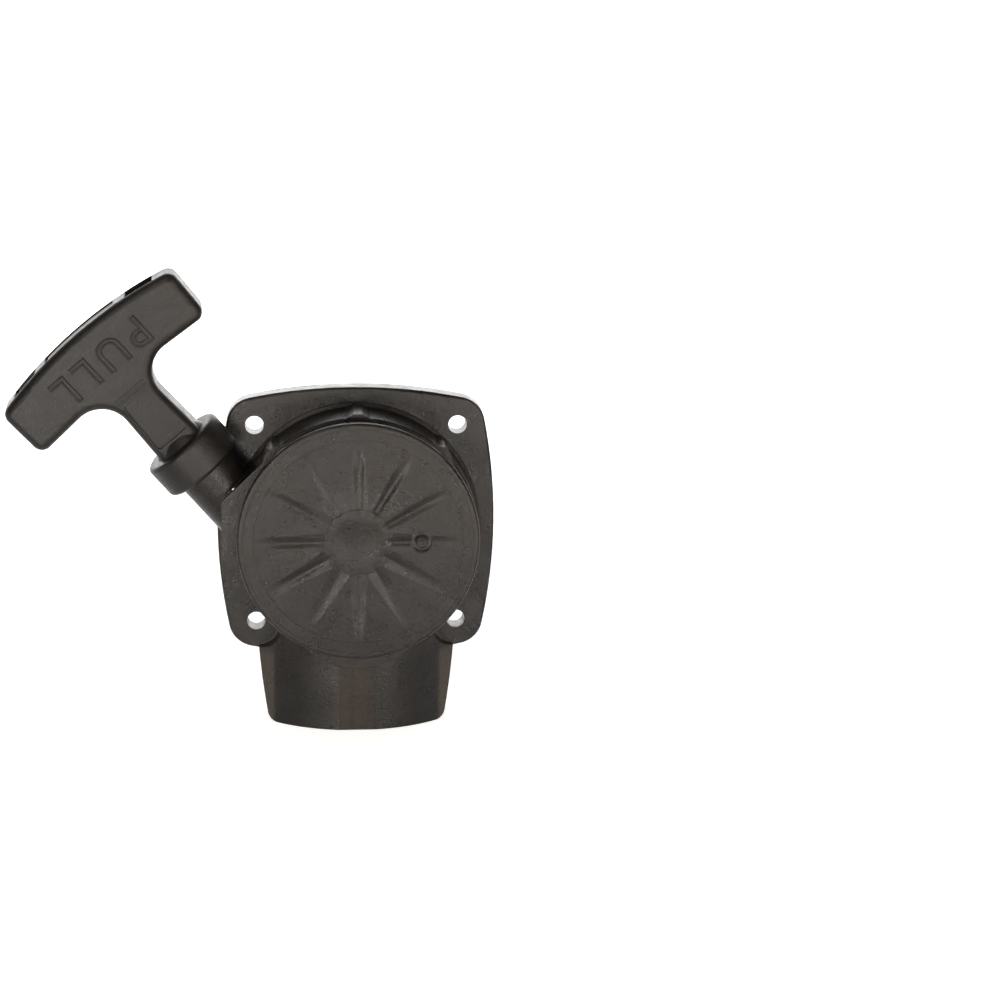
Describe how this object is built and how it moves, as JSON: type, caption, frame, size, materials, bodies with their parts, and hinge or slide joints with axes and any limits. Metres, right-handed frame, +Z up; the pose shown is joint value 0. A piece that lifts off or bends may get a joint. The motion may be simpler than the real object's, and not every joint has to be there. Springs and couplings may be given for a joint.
{
  "type": "recoil starter",
  "caption": "Pull-rope recoil starter for a small engine: flanged drum case with skirt, rope reel on a centre post, rope tube and T-shaped pull handle.",
  "frame": {"origin": "on the reel's axis, in the plane of the flange's mating face (centre of the four engine bolts)", "axes": "+Z up, +Y towards the engine along the reel's axis, +X to the right seen from the closed front"},
  "size_m": [0.1422, 0.0305, 0.1372],
  "materials": {
    "case_nylon": "satin black glass-filled nylon",
    "insert_brass": "machined brass",
    "bush_acetal": "smooth white acetal",
    "zinc_nut": "bright zinc plate",
    "spring_steel": "blued spring steel",
    "zinc_screw": "bright zinc plate",
    "zinc_washer": "zinc plated steel",
    "reel_nylon": "natural translucent nylon",
    "rope": "braided nylon, cream with dark flecks",
    "handle_nylon": "satin dark grey nylon",
    "cap_nylon": "satin grey nylon"
  },
  "bodies": {
    "case": {"starter_case": "case_nylon", "post_insert": "insert_brass", "rope_bush": "bush_acetal", "tank_nut": "zinc_nut", "recoil_spring": "spring_steel", "reel_screw": "zinc_screw", "reel_washer": "zinc_washer"},
    "reel": {"reel": "reel_nylon", "rope_wound": "rope", "rope_knot_reel": "rope"},
    "rope_end": {"rope_run": "rope", "rope_knot_handle": "rope", "knot_washer": "zinc_washer"},
    "handle": {"handle": "handle_nylon", "handle_cap": "cap_nylon"}
  },
  "joints": [
    {"name": "handle_pull", "type": "slide", "parent": "case", "child": "rope_end", "axis": [-0.6492, -0.0698, 0.7574], "range_m": [0, 0.8], "stiffness_N_per_m": 20, "springref_m": -0.4, "deforming": ["rope_run"]},
    {"name": "reel_spin", "type": "hinge", "parent": "case", "child": "reel", "pos_m": [0, 0, 0], "axis": [0, 1, 0], "range_deg": [0, 1962], "deforming": ["recoil_spring"]},
    {"name": "handle_twist", "type": "hinge", "parent": "rope_end", "child": "handle", "pos_m": [-0.0164, -0.01008, -0.01406], "axis": [-0.6492, -0.0698, 0.7574], "range_deg": [-180, 180]}
  ],
  "couplings": [
    {"joint": "reel_spin", "follows": "handle_pull", "rad_per_m": 42.735}
  ]
}
